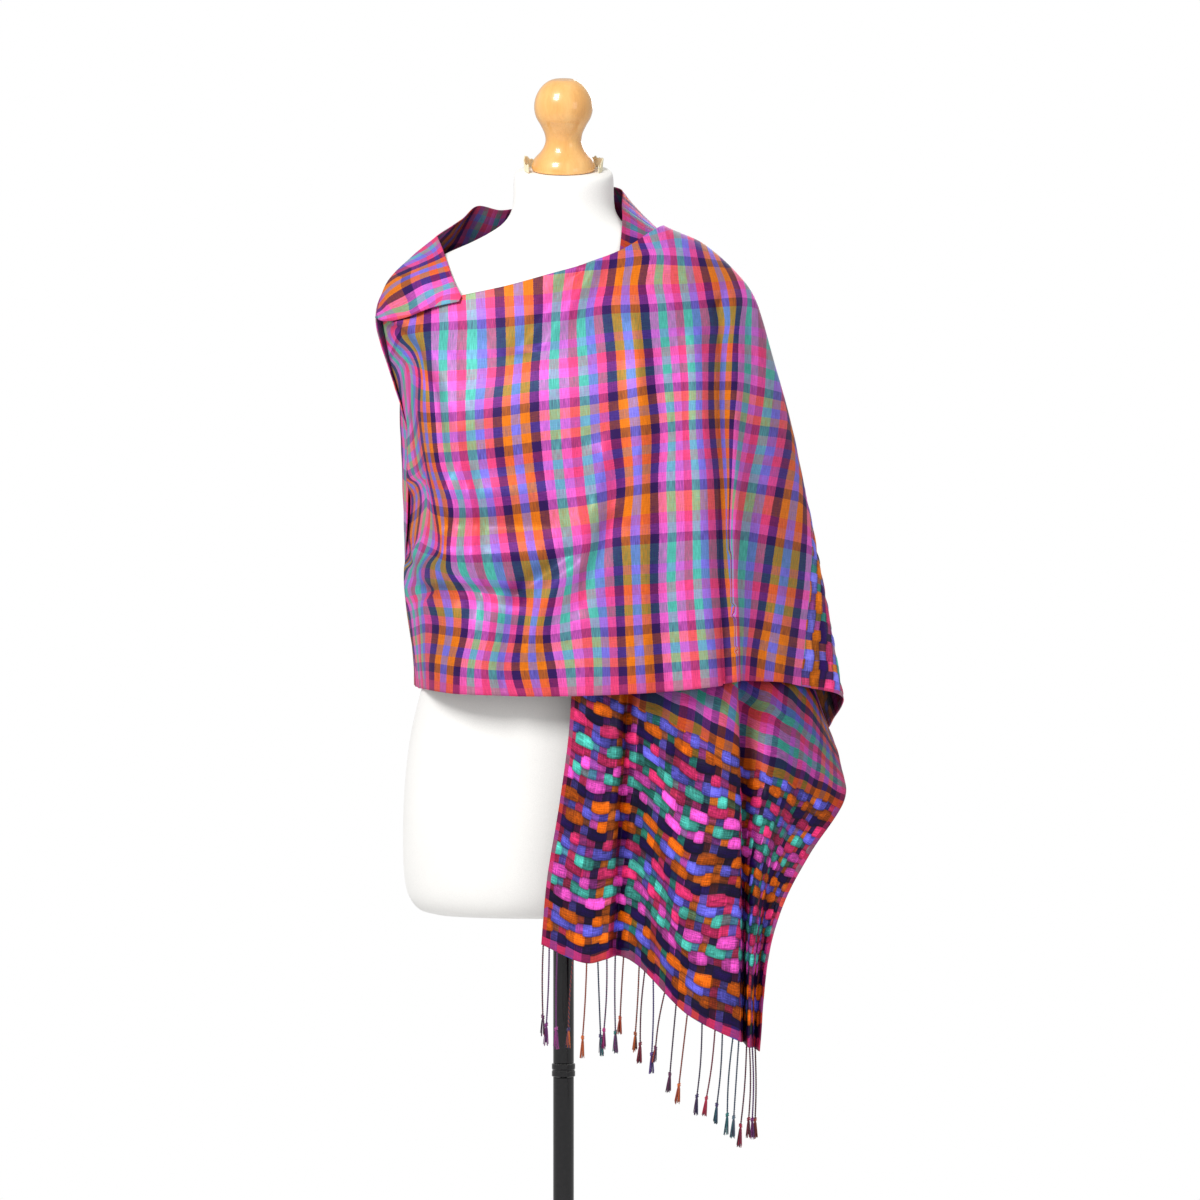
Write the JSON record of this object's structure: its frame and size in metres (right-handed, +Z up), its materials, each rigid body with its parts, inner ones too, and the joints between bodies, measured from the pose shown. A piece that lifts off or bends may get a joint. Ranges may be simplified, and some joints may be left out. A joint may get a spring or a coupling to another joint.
{
  "type": "silk wrap scarf on a dress form",
  "caption": "Long checked silk wrap with raised woven ends and twisted fringe, wrapped round a limbless dress form that stands on a pole and round base.",
  "frame": {"origin": "on the floor at the centre of the underside of the stand's round base, under the pole", "axes": "+Z up along the pole, -Y out of the chest of the dress form, +X towards its left shoulder, over which the wrap is thrown"},
  "size_m": [0.4984, 0.3411, 1.5807],
  "materials": {
    "checked_silk": "plain-woven silk in a many-coloured check with a soft sheen",
    "raised_weave_silk": "silk check with raised floating wefts in a basket pattern",
    "silk_cord": "tightly twisted silk yarns with loose tufts",
    "cotton_jersey": "smooth off-white cotton jersey",
    "calico_edge": "raw edge of unbleached cotton",
    "varnished_wood": "gloss varnish over light wood",
    "black_steel": "gloss black lacquer"
  },
  "bodies": {
    "root": {"hanging_end": "raised_weave_silk", "back_panel": "checked_silk", "chest_panel": "checked_silk", "thrown_end": "raised_weave_silk", "shoulder_flap": "checked_silk", "front_fringe": "silk_cord", "back_fringe": "silk_cord", "torso": "cotton_jersey", "neck_cover_edge": "calico_edge", "neck_knob": "varnished_wood", "base_plate": "black_steel", "lower_pole": "black_steel", "pole_ring": "black_steel", "upper_pole": "black_steel"}
  },
  "joints": []
}
